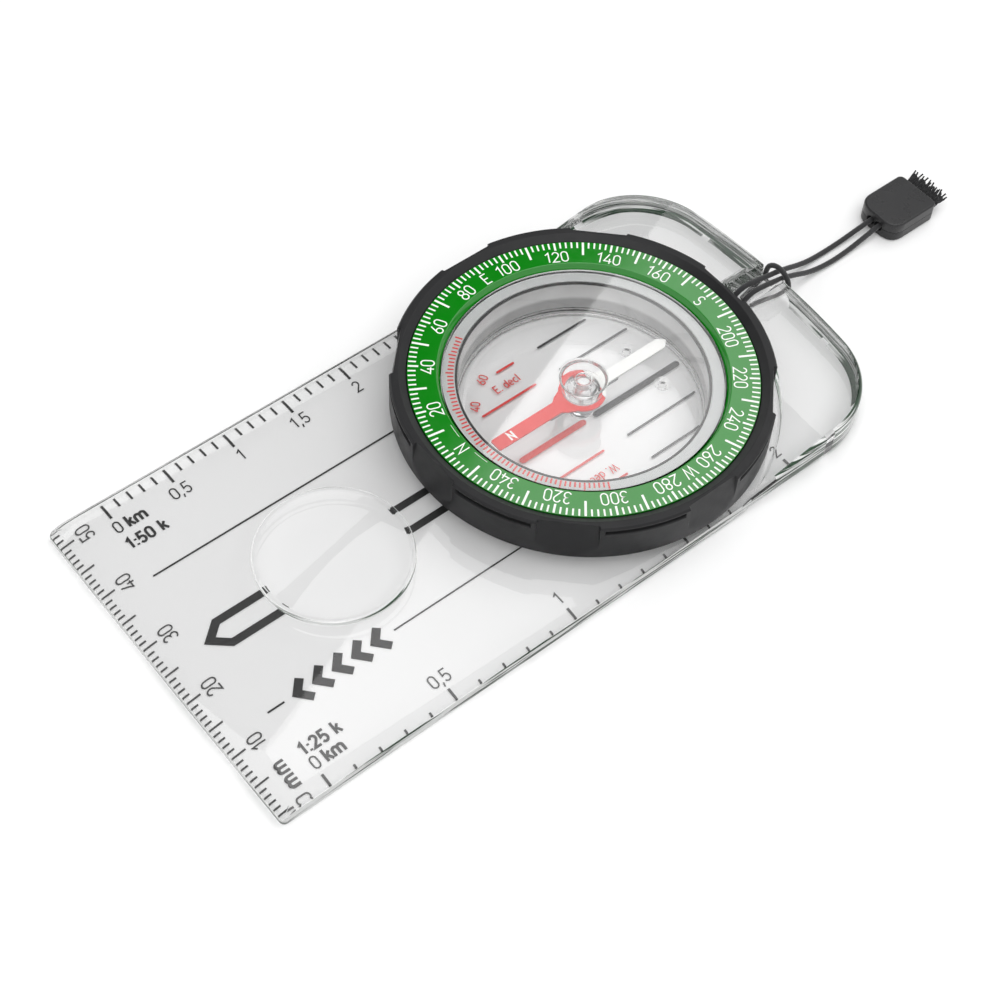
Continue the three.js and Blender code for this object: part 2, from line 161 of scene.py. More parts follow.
def clear_plastic(name, tone, ripple=0.03, ior=1.49, matt=0.02):
    """Clear moulded plastic that lets soft light through to what lies under it."""
    look = Look(name)
    look.set(Base_Color=(1, 1, 1, 1), Transmission_Weight=1.0, IOR=ior)
    look.rough(900.0, matt * 0.5, matt, 3.0)
    look.bump(60.0, ripple, 0.0002, 2.0)
    path = look.nodes.new("ShaderNodeLightPath")
    through = look.nodes.new("ShaderNodeBsdfTransparent")
    fill(through, Color=(tone, tone, tone, 1))
    either = look.combine("MAXIMUM", path.outputs["Is Shadow Ray"], path.outputs["Is Diffuse Ray"])
    mix = look.nodes.new("ShaderNodeMixShader")
    for entry, socket in enumerate((either, look.shader.outputs["BSDF"], through.outputs["BSDF"])):
        look.link(socket, mix.inputs[entry])
    look.link(mix.outputs["Shader"], look.nodes["Material Output"].inputs["Surface"])
    return look.mat


def frosted_plastic(name):
    """Pale translucent plastic with a matt skin."""
    look = Look(name)
    look.colour(700.0, (0.66, 0.67, 0.67), (0.74, 0.75, 0.75))
    look.set(Transmission_Weight=0.35, IOR=1.3)
    look.rough(900.0, 0.3, 0.5)
    look.bump(3000.0, 0.1, 0.00001)
    return look.mat


def wall_backing():
    """What shows through the capsule's wall: pale above, with painted shade making it greyer where
    it sits in the plate.
    """
    look = Look("wall_backing")
    # Painted shade: the backing darkens below the plate's top.
    height = look.ramp(look.place("Z"), 0.0, 0.85, 0.0030, 0.0038)
    cloud = look.ramp(look.noise(300.0), 0.0, 0.15)
    pale = look.combine("ADD", height, cloud)
    look.feed("Base Color", look.mix(pale, (0.42, 0.42, 0.42), (0.93, 0.93, 0.93)))
    look.set(Roughness=0.6)
    return look.mat


def edge_plastic():
    """The plate's narrow moulded edge as painted reflections: bright, with long dark streaks that
    lean to bottle green.
    """
    look = Look("plate_edge_painted_reflections")
    # Painted reflections: stretched noise cut into bright and dark streaks, with a few more dark
    # ones towards the rear.
    reflection_streak = look.noise(70.0, 2.0, (1, 1, 34))
    rear = look.ramp(look.place("Y"), 0.0, 0.08, -0.030, 0.000)
    dark = look.ramp(look.combine("ADD", reflection_streak, rear), 0.0, 1.0, 0.53, 0.6)
    look.feed("Base Color", look.mix(dark, (0.92, 0.93, 0.92), (0.006, 0.030, 0.010)))
    look.set(Transmission_Weight=0.45, IOR=1.49)
    look.rough(900.0, 0.08, 0.18)
    return look.mat


def plastic(name, dark, light, rough=(0.4, 0.55), grain=2600.0, grain_strength=0.25, depth=0.00004,
            specular=0.5):
    """Opaque moulded plastic with a fine spark-eroded grain and slight colour drift."""
    look = Look(name)
    look.colour(220.0, dark, light)
    look.rough(500.0, *rough)
    look.set(Specular_IOR_Level=specular)
    look.bump(grain, grain_strength, depth, 6.0)
    return look.mat


def ink(name, colour):
    """Screen-printed ink, a little uneven in cover."""
    look = Look(name)
    look.colour(1800.0, colour, tuple(min(1.0, c * 1.15 + 0.0015) for c in colour))
    look.rough(2500.0, 0.3, 0.5)
    look.bump(6000.0, 0.1, 0.00001)
    return look.mat


def metal(name, colour):
    look = Look(name)
    look.colour(900.0, tuple(c * 0.8 for c in colour), colour)
    look.rough(1500.0, 0.2, 0.4, stretch=(1, 8, 1))
    look.set(Metallic=1.0)
    return look.mat


def textile(name, dark, light, scale):
    """Yarn: fine twisted fibres with a soft sheen."""
    look = Look(name)
    look.colour(scale, dark, light, 6.0)
    look.set(Roughness=0.85, Sheen_Weight=0.25, Sheen_Roughness=0.5)
    look.bump(scale * 1.7, 0.5, 0.00004, 6.0)
    return look.mat


# ---- meshes
class Body:
    """Corners in millimetres and faces, gathered before they become one mesh."""

    def __init__(self):
        self.verts, self.faces, self.slots = [], [], []

    def add(self, verts, faces, slot=0):
        base = len(self.verts)
        self.verts += [tuple(v) for v in verts]
        self.faces += [tuple(i + base for i in f) for f in faces]
        self.slots += [slot] * len(faces)
        return self


def to_object(name, body, materials, angle=35.0):
    mesh = bpy.data.meshes.new(name)
    mesh.from_pydata([(x * MM, y * MM, z * MM) for x, y, z in body.verts], [], body.faces)
    for mat in materials:
        mesh.materials.append(mat)
    mesh.polygons.foreach_set("material_index", body.slots)
    bm = bmesh.new()
    bm.from_mesh(mesh)
    bmesh.ops.remove_doubles(bm, verts=bm.verts, dist=1e-7)
    bmesh.ops.recalc_face_normals(bm, faces=bm.faces)
    bm.to_mesh(mesh)
    bm.free()
    obj = place(name, mesh)
    shade(obj, angle)
    return obj


def shade(obj, angle=35.0):
    """Smooth across gentle bends, sharp across corners, flat on flats."""
    bm = bmesh.new()
    bm.from_mesh(obj.data)
    limit = radians(angle)
    for face in bm.faces:
        face.smooth = True
    for edge in bm.edges:
        edge.smooth = edge.is_manifold and edge.calc_face_angle(0.0) < limit
    bm.to_mesh(obj.data)
    bm.free()
    if not any(m.type == "WEIGHTED_NORMAL" for m in obj.modifiers):
        mod = obj.modifiers.new("weighted", "WEIGHTED_NORMAL")
        mod.keep_sharp = True


def finish_piece(obj, body, node=None):
    if node:
        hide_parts(*([node] if isinstance(node, str) else node))
    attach(obj, body)
    return obj


def cover_with(obj, *materials):
    obj.data.materials.clear()
    for mat in materials:
        obj.data.materials.append(mat)


def repaint(obj, test):
    """Give the second material to the faces that pass test(x, y, z of the centre, |normal z|)."""
    for face in obj.data.polygons:
        x, y, z = (c / MM for c in face.center)
        if test(x, y, z, abs(face.normal.z)):
            face.material_index = 1


def turned(name, body, mat, rides, node):
    return finish_piece(to_object(name, body, [mat]), rides, node)


def boolean(obj, tools, operation="DIFFERENCE"):
    for tool in tools:
        mod = obj.modifiers.new("cut", "BOOLEAN")
        mod.operation, mod.solver, mod.object = operation, "EXACT", tool
        deps = bpy.context.evaluated_depsgraph_get()
        deps.update()
        mesh = bpy.data.meshes.new_from_object(obj.evaluated_get(deps))
        obj.modifiers.remove(mod)
        old, obj.data = obj.data, mesh
        bpy.data.meshes.remove(old)
        bpy.data.objects.remove(tool)
    return obj


def bare_object(name, body):
    """A plain working solid, used only as a boolean tool or blank."""
    obj = to_object(name, body, [])
    obj.modifiers.clear()
    return obj


def curve(a, b, c, t):
    """A point on the curve from a to c that leans towards b."""
    return tuple(p * (1 - t) ** 2 + q * 2 * t * (1 - t) + r * t * t for p, q, r in zip(a, b, c))


def rounded(points, radius, steps=4, closed=True):
    """The polygon with its corners turned into small arcs; radius is one number, or one each."""
    count = len(points)
    radii = radius if isinstance(radius, (list, tuple)) else [radius] * count
    out = []
    for i, p in enumerate(points):
        if radii[i] <= 0 or (not closed and i in (0, count - 1)):
            out.append(tuple(p))
            continue
        here = Vector(p)
        a, b = Vector(points[i - 1]) - here, Vector(points[(i + 1) % count]) - here
        half = a.angle(b) / 2
        if half > pi / 2 - 0.02:
            out.append(tuple(p))
            continue
        reach = min(radii[i] / tan(half), a.length * 0.48, b.length * 0.48)
        p0, p1 = here + a.normalized() * reach, here + b.normalized() * reach
        out += [curve(p0, here, p1, k / steps) for k in range(steps + 1)]
    return out


def lathe(profile, cy=HOUSING_Y, cx=0.0, segments=ROUND, closed=True, body=None):
    """[radius, height] points turned about a vertical axis; points on the axis become poles."""
    body = body or Body()
    verts, rows = [], []
    for r, z in profile:
        if r < 1e-6:
            rows.append([len(verts)] * segments)
            verts.append((cx, cy, z))
            continue
        rows.append([len(verts) + i for i in range(segments)])
        for i in range(segments):
            a = 2 * pi * i / segments
            verts.append((cx + r * cos(a), cy + r * sin(a), z))
    faces = []
    last = len(rows) if closed else len(rows) - 1
    for j in range(last):
        low, high = rows[j], rows[(j + 1) % len(rows)]
        for i in range(segments):
            k = (i + 1) % segments
            quad = []
            for v in (low[i], low[k], high[k], high[i]):
                if v not in quad:
                    quad.append(v)
            if len(quad) > 2:
                faces.append(quad)
    return body.add(verts, faces)


def loops(rings, body=None, cap=True):
    """Closed loops of equal count joined in order, with a face at each end."""
    body = body or Body()
    n = len(rings[0])
    verts = [p for ring in rings for p in ring]
    faces = []
    for j in range(len(rings) - 1):
        for i in range(n):
            k = (i + 1) % n
            faces.append((j * n + i, j * n + k, (j + 1) * n + k, (j + 1) * n + i))
    if cap:
        faces.append(tuple(range(n))[::-1])
        faces.append(tuple((len(rings) - 1) * n + i for i in range(n)))
    return body.add(verts, faces)


def inset(outline, d):
    """The outline moved inward by d along its own normals; the outline runs anticlockwise."""
    n = len(outline)
    out = []
    for i in range(n):
        a, b = Vector(outline[i - 1][:2]), Vector(outline[(i + 1) % n][:2])
        t = (b - a).normalized()
        out.append((outline[i][0] - t.y * d, outline[i][1] + t.x * d))
    return out


def block(outline, z0, z1, edge, body=None):
    """A prism on an outline, with its top and bottom edges rounded over."""
    rings, steps = [], 2
    for z, up, order in ((z0, 1, range(steps + 1)), (z1, -1, range(steps, -1, -1))):
        for k in order:
            a = pi / 2 * k / steps
            plan = inset(outline, edge * (1 - sin(a)))
            rings.append([(x, y, z + up * edge * (1 - cos(a))) for x, y in plan])
    return loops(rings, body)


def smooth(t):
    """0 to 1 with a soft start and end."""
    t = min(1.0, max(0.0, t))
    return t * t * (3 - 2 * t)


def arc(cx, cy, rx, ry, a0, a1, steps=12):
    out = []
    for i in range(steps + 1):
        a = radians(a0 + (a1 - a0) * i / steps)
        out.append((cx + rx * cos(a), cy + ry * sin(a)))
    return out


# ---- print
def stroke(body, points, width, layer, loop=False):
    """A flat ribbon of ink along a line; layer is its lowest and highest height."""
    n = len(points)
    left, right = [], []
    for i in range(n):
        p = Vector(points[i])
        a = Vector(points[i - 1]) if (i > 0 or loop) else None
        b = Vector(points[(i + 1) % n]) if (i < n - 1 or loop) else None
        t0 = (p - a).normalized() if a is not None else (b - p).normalized()
        t1 = (b - p).normalized() if b is not None else t0
        normal = Vector((-(t0 + t1).y, (t0 + t1).x))
        normal = normal.normalized() if normal.length > 1e-6 else Vector((-t0.y, t0.x))
        scale = 1.0 / max(0.35, normal.dot(Vector((-t0.y, t0.x))))
        left.append(p + normal * width / 2 * scale)
        right.append(p - normal * width / 2 * scale)
    low, high = layer
    verts = [(q.x, q.y, z) for z in (high, low) for edge in (left, right) for q in edge]
    faces = []
    span = n if loop else n - 1
    for i in range(span):
        k = (i + 1) % n
        faces += [(i, i + n, k + n, k), (i + 2 * n, k + 2 * n, k + 3 * n, i + 3 * n),
                  (i, k, k + 2 * n, i + 2 * n), (i + n, i + 3 * n, k + 3 * n, k + n)]
    if not loop:
        faces += [(0, 2 * n, 3 * n, n), (n - 1, 2 * n - 1, 4 * n - 1, 3 * n - 1)]
    body.add(verts, faces)


def glyphs():
    """Monoline figures and letters on a cap height of 100: (advance, [(points, closed), ...])."""
    zero = arc(29, 70, 22, 24, 0, 180) + arc(29, 30, 22, 24, 180, 360)
    eight_top = arc(29, 73.5, 18.5, 20.5, -90, 255, 20)
    eight_low = arc(29, 29.5, 22.5, 23.5, 90, 435, 20)

    def arch(x):
        return [(x, 4), (x, 48)] + arc(x + 19, 48, 19, 18, 180, 0)[1:] + [(x + 38, 4)]

    return {
        "0": (64, [(zero, True)]),
        "1": (50, [([(8, 74), (30, 93), (30, 6)], False)]),
        "2": (62, [(arc(29, 70, 21, 24, 170, -38) + [(7, 6), (54, 6)], False)]),
        "3": (62, [(arc(28, 72, 19, 22, 155, -80)
                      + arc(28, 28, 22, 23, 78, -155), False)]),
        "4": (64, [([(38, 94), (6, 28), (58, 28)], False),
                     ([(44, 52), (44, 6)], False)]),
        "5": (62, [([(50, 94), (12, 94), (9, 50)]
                      + arc(28, 31, 22, 26, 118, -150), False)]),
        "6": (63, [(arc(29, 29, 22, 23, 160, 505, 20), True),
                     ([(10.5, 40), (40, 95)], False)]),
        "8": (64, [(eight_top, True), (eight_low, True)]),
        "N": (72, [([(9, 4), (9, 90), (55, 10), (55, 96)], False)]),
        "E": (60, [([(52, 94), (10, 94), (10, 6), (52, 6)], False),
                     ([(12, 51), (46, 51)], False)]),
        "S": (62, [(arc(29, 71, 20, 23, 35, 262)
                      + arc(29, 28.5, 22, 22.5, 82, -150), False)]),
        "W": (96, [([(5, 96), (25, 10), (46, 90), (67, 10), (87, 96)], False)]),
        "k": (56, [([(10, 4), (10, 100)], False), ([(46, 70), (14, 32)], False),
                     ([(25, 42), (50, 4)], False)]),
        "m": (106, [(arch(12), False), (arch(50), False)]),
        "d": (60, [(arc(28, 36, 19, 30, 0, 345, 18), True),
                     ([(50, 4), (50, 100)], False)]),
        "e": (56, [([(46, 37), (10, 37)], False),
                     (arc(28, 36, 19, 30, 0, 315, 16), False)]),
        "c": (54, [(arc(29, 36, 20, 30, 48, 312, 16), False)]),
        "l": (26, [([(12, 4), (12, 100)], False)]),
        ".": (24, [([(10, 0), (10, 13)], False)]),
        ",": (28, [([(15, 12), (7, -14)], False)]),
        ":": (26, [([(12, 4), (12, 18)], False), ([(12, 50), (12, 64)], False)]),
        " ": (30, []),
    }


GLYPHS = glyphs()


def text_width(text, size, tracking=0.0):
    return sum(GLYPHS[c][0] / 100 + tracking for c in text) * size


def write(body, text, at, right, size, weight, layer, align=0.5, tracking=0.0):
    """Letters with their foot line through at; right is the reading direction, a unit vector."""
    right = Vector(right)
    up = Vector((-right.y, right.x))
    cursor = Vector(at) - right * text_width(text, size, tracking) * align
    for char in text:
        advance, strokes = GLYPHS[char]
        for k, (points, loop) in enumerate(strokes):
            placed = [tuple(cursor + (right * x + up * y) * (size / 100)) for x, y in points]
            stroke(body, placed, weight * size, [z + 0.004 * k for z in layer], loop)
        cursor += right * (advance / 100 + tracking) * size


# ---- baseplate
def plate_outline():
    """The plate seen from above, anticlockwise from the front left corner."""
    r, f = CORNER_R, 0.8
    pts = [(x * (HALF_W - f) / 24, -HALF_L) for x in range(-24, 25)]
    pts += arc(HALF_W - f, -HALF_L + f, f, f, -90, 0, 8)[1:]
    y0, y1 = -HALF_L + f, HALF_L - BULGE - r
    pts += [(HALF_W, y0 + (y1 - y0) * k / 60) for k in range(1, 60)]
    pts += arc(HALF_W - r, y1, r, r, 0, 80, 40)
    a = Vector(pts[-1])
    pts += [curve(a, (0, 2 * HALF_L - a.y), (-a.x, a.y), k / 24) for k in range(1, 24)]
    pts += arc(-HALF_W + r, y1, r, r, 100, 180, 40)
    pts += [(-HALF_W, y1 + (y0 - y1) * k / 60) for k in range(1, 60)]
    pts += arc(-HALF_W + f, -HALF_L + f, f, f, 180, 270, 8)[:-1]
    return pts


def bevel_share(y):
    """1 along the ruled length of the plate, running out to 0 behind the housing."""
    return smooth((25.2 - y) / 2.4)


def plate_top(y):
    """Height of the plate's upper face: level in front, ramped up to the thick grip behind."""
    t = min(1.0, max(0.0, (y - RAMP_Y) / RAMP_LENGTH))
    return PLATE_T + (REAR_T - PLATE_T) * t * t * (3 - 2 * t)


def rim_rows(s):
    """Up the rim: [inset, height from the bottom], then [inset, drop from the edge height].

    s is the bevel share: small broken edges where the plate is ruled, fuller rounds behind."""
    def mixed(ruled, rear):
        return [tuple(s * a + (1 - s) * b for a, b in zip(p, q)) for p, q in zip(ruled, rear)]

    foot = mixed([(0.35, 0.0), (0.12, 0.06), (0.03, 0.17), (0.0, 0.4)],
                 [(1.1, 0.0), (0.5, 0.2), (0.14, 0.6), (0.0, 1.2)])
    top = mixed([(0.0, 0.42), (0.03, 0.2), (0.1, 0.06), (0.2, -0.02), (0.32, -0.1)],
                [(0.0, 0.9), (0.06, 0.55), (0.2, 0.28), (0.4, 0.1), (0.6, 0.02)])
    return foot, top


def plate_blank():
    """The plate before it is cut: thin and ruled in front, thick behind."""
    outline = plate_outline()
    inward = [(b[0] - a[0], b[1] - a[1]) for a, b in zip(outline, inset(outline, 1.0))]
    columns = []
    for (x, y), (nx, ny) in zip(outline, inward):
        s = bevel_share(y)
        foot, top = rim_rows(s)
        front_z = 1.3 + 1.7 * (y + HALF_L) / 3.6
        full = plate_top(y)
        edge_z = min(s * (PLATE_T - 0.9) + (1 - s) * full, front_z)
        column = [(x + nx * d, y + ny * d, z) for d, z in foot]
        column += [(x + nx * d, y + ny * d, edge_z - drop) for d, drop in top]
        wide = 2.6 * s + 0.9 * (1 - s)
        if y < 30:
            reach = HALF_W - wide
            inner = (max(-reach, min(reach, x)), max(-HALF_L + 3.6, y))
        else:
            inner = (x + nx * wide, y + ny * wide)
        column.append((*inner, full))
        columns.append(column)
    rings = [[c[k] for c in columns] for k in range(len(columns[0]))]
    body = loops(rings, cap=False)
    n, last = len(outline), (len(rings) - 1) * len(outline)
    right = [i for i in range(49, (n + 48) // 2) if outline[i][1] > 20]
    a, c = right[0], next(i for i in right if outline[i][1] > 44.5)
    mirror = n + 48
    faces = [tuple(range(n))[::-1],
             tuple(last + i for i in [*range(a + 1), *range(mirror - a, n)])]
    faces += [tuple(last + j for j in (i, i + 1, mirror - i - 1, mirror - i)) for i in range(a, c)]
    faces.append(tuple(last + i for i in range(c, mirror - c + 1)))
    body.faces += faces
    body.slots += [0] * len(faces)
    return body


def lens_profile():
    r = 10.6
    crown = [(r - 0.45 - (r - 0.45) * k / 20, 0) for k in range(21)]
    dome = [(q, PLATE_T + 0.5 + 1.05 * (1 - (q / (r - 0.45)) ** 2)) for q, _ in crown]
    rim = rounded([(r + 0.4, PLATE_T - 0.3), (r + 0.36, PLATE_T + 0.5), (r + 0.2, PLATE_T + 0.62),
                   (r - 0.25, PLATE_T + 0.62), (r - 0.45, PLATE_T + 0.5)], 0.1, 4, closed=False)
    return [(0, PLATE_T - 0.7), (r + 0.4, PLATE_T - 0.7), *rim[:-1], *dome]


def relief_outline():
    """Plan of the lanyard's recess, running out past the rear edge."""
    x, y0, y1 = 5.0, 45.4, 58.0
    return rounded([(-x, y0), (x, y0), (x, y1), (-x, y1)], [3.6, 3.6, 0, 0], 12)


def outside_gap(x, y):
    """How far a point behind the housing lies inside the plate's outline."""
    cx, cy = HALF_W - CORNER_R, HALF_L - BULGE - CORNER_R
    if abs(x) > cx and y > cy:
        return CORNER_R - hypot(abs(x) - cx, y - cy)
    return HALF_L - 0.4 - y


def on_plate_edge(x, y, z, level):
    """True on the plate's rim and on the small ring round the lens: the faces that take the painted
    reflections.
    """
    if y < 30:
        outer = hypot(x, y - HOUSING_Y) > 26
        rim = outer and z < 2.2 and level < 0.6
    else:
        near = outside_gap(x, y) < 1.0 if y > 39 else abs(x) > HALF_W - 1.0
        rim = abs(x) > 3 and near and level < 0.97
    lens = 10.0 < hypot(x, y - LENS_Y) < 11.3 and z > PLATE_T + 0.05 and level < 0.8
    return rim or lens


def baseplate(clear, edge):
    obj = bare_object("baseplate_clear", plate_blank())
    boolean(obj, [bare_object("lens", lathe(lens_profile(), LENS_Y, segments=192))], "UNION")
    seat = rounded([(21.75, 0.0), (21.5, 0.25), (21.5, 1.2), (20.3, 1.2), (20.3, 2.8), (20.5, 3.0)],
                   [0.1, 0.1, 0.15, 0.12, 0.12, 0.1], 3, closed=False)
    seat = [(0, -1), (21.75, -1), *seat, (20.5, 4), (0, 4)]
    hole = [(0, -1), (2, -1), (2, 2.55), (2.08, 2.8), (2.25, 2.95), (2.5, 3.01), (2.5, 7), (0, 7)]
    floor = PLATE_T + 0.002
    pocket = rounded([(27.0, floor), (POCKET_R, floor), (POCKET_R, 7.0)], [0.1, 0.4, 0.1], 5,
                     closed=False)
    pocket = [(0, floor), *pocket, (POCKET_R, 8), (0, 8)]
    notch = rounded([(-2.3, 8), (-1.9, 2.99), (1.9, 2.99), (2.3, 8)], [0.0, 0.5, 0.5, 0.0], 6)
    channel = loops([[(x, y, z) for x, z in notch] for y in (60.0, 42.0)])
    plan = relief_outline()
    rows = [(0.0, -1), (0.0, 0.01), (0.5, 0.16), (1.1, 0.45), (1.8, 0.88), (2.4, 1.14), (3.1, 1.3)]
    relief = loops([[(x, y, z) for x, y in inset(plan, d)] for d, z in rows])
    cuts = {"pocket": lathe(pocket), "channel": channel, "seat": lathe(seat), "relief": relief,
            "hole": lathe(hole, 46.0, segments=64)}
    boolean(obj, [bare_object(name, body) for name, body in cuts.items()])
    cover_with(obj, clear, edge)
    # The rim and the lens ring take the edge material's painted reflections.
    repaint(obj, on_plate_edge)
    shade(obj, 32)
    return finish_piece(obj, "plate", "baseplate")


# ---- plate print
PLATE_INK = (0.03, 0.05)   # printed on the underside, inside the clear plate
TICK_STEP, FIGURE = 1.002, 2.1


def scale_print(body, side):
    """A map scale along one long edge: side -1 is 1:50 k, side 1 is 1:25 k."""
    if side < 0:
        zero, outer, step, count, short, long_end = -45.9, -26.6, 2.0, 41, 25.2, 24.15
        base, name_x, scale = -21.4, -18.2, "1:50 k"
    else:
        zero, outer, step, count, short, long_end = -46.3, 26.4, 4.0, 21, 25.5, 24.4
        base, name_x, scale = 23.7, 21.2, "1:25 k"
    for k in range(count):
        y = zero + k * step
        end, width = (long_end, 0.38) if k % 5 == 0 else (short, 0.32)
        stroke(body, [(outer, y), (side * end, y)], width, PLATE_INK)
    for k in range(1, count // 5 + 1):
        text = str(k // 2) if k % 2 == 0 else f"{k // 2},5"
        write(body, text, (base, zero + k * 5 * step), (0, 1), FIGURE, 0.095, PLATE_INK)
    start = -46.6
    write(body, "0", (base, start), (0, 1), 2.05, 0.105, PLATE_INK, 0.0)
    write(body, "km", (base, start + 1.9), (0, 1), 2.0, 0.2, PLATE_INK, 0.0)
    write(body, scale, (name_x, start), (0, 1), 1.95, 0.19, PLATE_INK, 0.0, 0.06)


def ruler_print(body):
    """Millimetres along the front edge, read from the right."""
    for k in range(53):
        x = 25.7 - k * TICK_STEP
        stroke(body, [(x, -54.0), (x, -51.5 if k % 5 == 0 else -52.5)], 0.27, PLATE_INK)
        if k and k % 10 == 0:
            write(body, str(k), (x, -48.9), (-1, 0), FIGURE, 0.1, PLATE_INK)
    write(body, "0", (25.5, -48.9), (-1, 0), FIGURE, 0.1, PLATE_INK)
    write(body, "mm", (21.75, -48.9), (-1, 0), FIGURE, 0.19, PLATE_INK, tracking=0.05)


def arrow_print(body):
    """The travel arrow's outline, broken under the lens."""
    x = 1.955
    nose = [(x, -36.2), (x, -44.1), (0, -46.35), (-x, -44.1), (-x, -36.2)]
    stroke(body, nose, 1.2, PLATE_INK)
    for side in (-1, 1):
        stroke(body, [(side * x, -15.85), (side * x, -3.4)], 1.13, PLATE_INK)


def guide_print(body):
    """Side lines of the route guide, and its row of chevrons."""
    for x, y0, y1, width in ((-12.9, -46.6, -2.6, 0.27), (13.3, -26.5, -2.6, 0.22),
                             (13.3, -46.6, -44.0, 0.27)):
        stroke(body, [(x, y0), (x, y1)], width, PLATE_INK)
    for k in range(5):
        y = -42.0 + 3.1 * k
        stroke(body, [(11.6, y + 1.5), (13.3, y), (15.0, y + 1.5)], 1.2, PLATE_INK)


def plate_print(black, grey):
    body = Body()
    scale_print(body, -1)
    arrow_print(body)
    guide_print(body)
    finish_piece(to_object("plate_print_left", body, [black]), "plate")
    # The right-hand print, ruler and 1:25 k scale, takes the lighter ink: a painted reflection of
    # the glare off the plate's top.
    body = Body()
    ruler_print(body)
    scale_print(body, 1)
    finish_piece(to_object("plate_print_right", body, [grey]), "plate")


# ---- bezel
def bezel_section():
    """The turned section of the bezel, [radius, height], from the inner foot outward."""
    corners = [(20.3, 3.3), (22.2, 3.3), (22.2, 6.6), (25.4, 6.6), (25.4, 3.3), (26.85, 3.3),
               (27.1, 3.6), (27.1, 9.7), (26.85, 10.0), (25.8, 10.0), (24.75, 9.3),
               (24.75, 8.3), (20.3, 8.3)]
    radii = [0.1, 0.1, 0.1, 0.2, 0.1, 0.1, 0.12, 0.1, 0.12, 0.15, 0.05, 0.1, 0.05]
    section = rounded(corners, radii, 4)
    wall = [(27.1, 4.0 + 0.4 * k) for k in range(10)] + [(27.1, 8.0 + 0.08 * k) for k in range(20)]
    at = next(i for i, p in enumerate(section) if p[0] > 27.0 and p[1] > 9.5)
    return section[:at] + wall + section[at:]


def bezel_angles():
    """Angles round the ring, closer together at the ends of each grip scoop."""
    fine = []
    for g in range(8):
        centre = g * pi / 4
        for side in (-1, 1):
            edge = asin(4.2 / 27.0)
            fine += [centre + side * (edge + d / 27.0) for d in (
                -0.12, -0.06, 0.0, 0.06, 0.12, 0.2, 0.62, 0.7, 0.78, 0.86, 0.94)]
            fine += [centre + side * edge * k / 9 for k in range(1, 9)]
            fine += [centre + side * (edge + (radians(22.5) - edge) * k / 12) for k in range(1, 12)]
        fine.append(centre)
    fine = sorted(a % (2 * pi) for a in fine)
    return [a for i, a in enumerate(fine) if i == 0 or a - fine[i - 1] > 1e-4]


def from_scoop(angle):
    """The angle from the middle of the nearest of the eight finger scoops."""
    return (angle + pi / 8) % (pi / 4) - pi / 8


def bezel_radius(r, z, angle):
    """Radius of the wall once the finger scoops and the step on each land are taken off."""
    if r < 25.0 or z < 3.5:
        return r
    phi = from_scoop(angle)
    across = abs(sin(phi)) * r
    plane = 26.2 + (10.0 - z) / 7.0
    share = smooth((4.26 - across) / 0.12)
    land = r
    if z > 8.3:
        step = smooth((across - 4.85) / 0.25) * smooth((z - 8.5) / 0.14) * smooth((9.5 - z) / 0.1)
        land = r - 0.38 * step
    scooped = min(r, plane / cos(phi))
    return land + (scooped - land) * share


def in_land_step(x, y, z, _):
    r = hypot(x, y - HOUSING_Y)
    across = abs(sin(from_scoop(atan2(y - HOUSING_Y, x)))) * r
    return across > 4.8 and 8.4 < z < 9.6 and 26.4 < r < 27.0


def bezel_ring(black, shaded):
    section, angles = bezel_section(), bezel_angles()
    rings = []
    for a in angles:
        ring = []
        for r, z in section:
            q = bezel_radius(r, z, a)
            ring.append((q * cos(a), HOUSING_Y + q * sin(a), z))
        rings.append(ring)
    body = loops(rings + [rings[0]], cap=False)
    obj = to_object("bezel_grip_ring", body, [black, shaded], 28)
    # The groove under each land's top takes a darker black: painted shade.
    repaint(obj, in_land_step)
    return finish_piece(obj, "housing", "bezel_ring")


# ---- dial
DIAL_INK = (DIAL_Z - 0.01, DIAL_Z + 0.02)


def dial_point(r, bearing):
    """A place on the dial: 0 faces the front edge and angles run clockwise from above."""
    a = radians(bearing)
    return Vector((-r * sin(a), HOUSING_Y - r * cos(a)))


def dial_ring(green):
    section = rounded([(20.0, 8.35), (24.6, 8.35), (24.6, DIAL_Z), (20.5, DIAL_Z), (20.0, 8.6)],
                      [0.05, 0.05, 0.05, 0.16, 0.06], 4)
    return turned("dial_face", lathe(section), green, "housing", "dial_ring")


def dial_print(white):
    body = Body()
    for k in range(180):
        bearing = 2 * k
        main, middle = bearing % 20 == 10 and bearing % 90, bearing % 10 == 0
        inner, width = (22.05, 0.33) if main else (23.05, 0.3) if middle else (23.4, 0.25)
        stroke(body, [dial_point(inner, bearing), dial_point(24.5, bearing)], width, DIAL_INK)
    names = {0: "N", 90: "E", 180: "S", 270: "W"}
    for bearing in range(0, 360, 10):
        if bearing not in names and bearing % 20:
            continue
        text = names.get(bearing, str(bearing))
        a = radians(bearing)
        reading = (-cos(a), sin(a))
        write(body, text, dial_point(20.72, bearing), reading, 2.1, 0.088, DIAL_INK)
    for side in (-1, 1):
        line = [dial_point(20.85, side * (4.6 + 6.4 * k / 8)) for k in range(9)]
        stroke(body, line, 0.06, DIAL_INK)
    finish_piece(to_object("dial_figures", body, [white]), "housing")


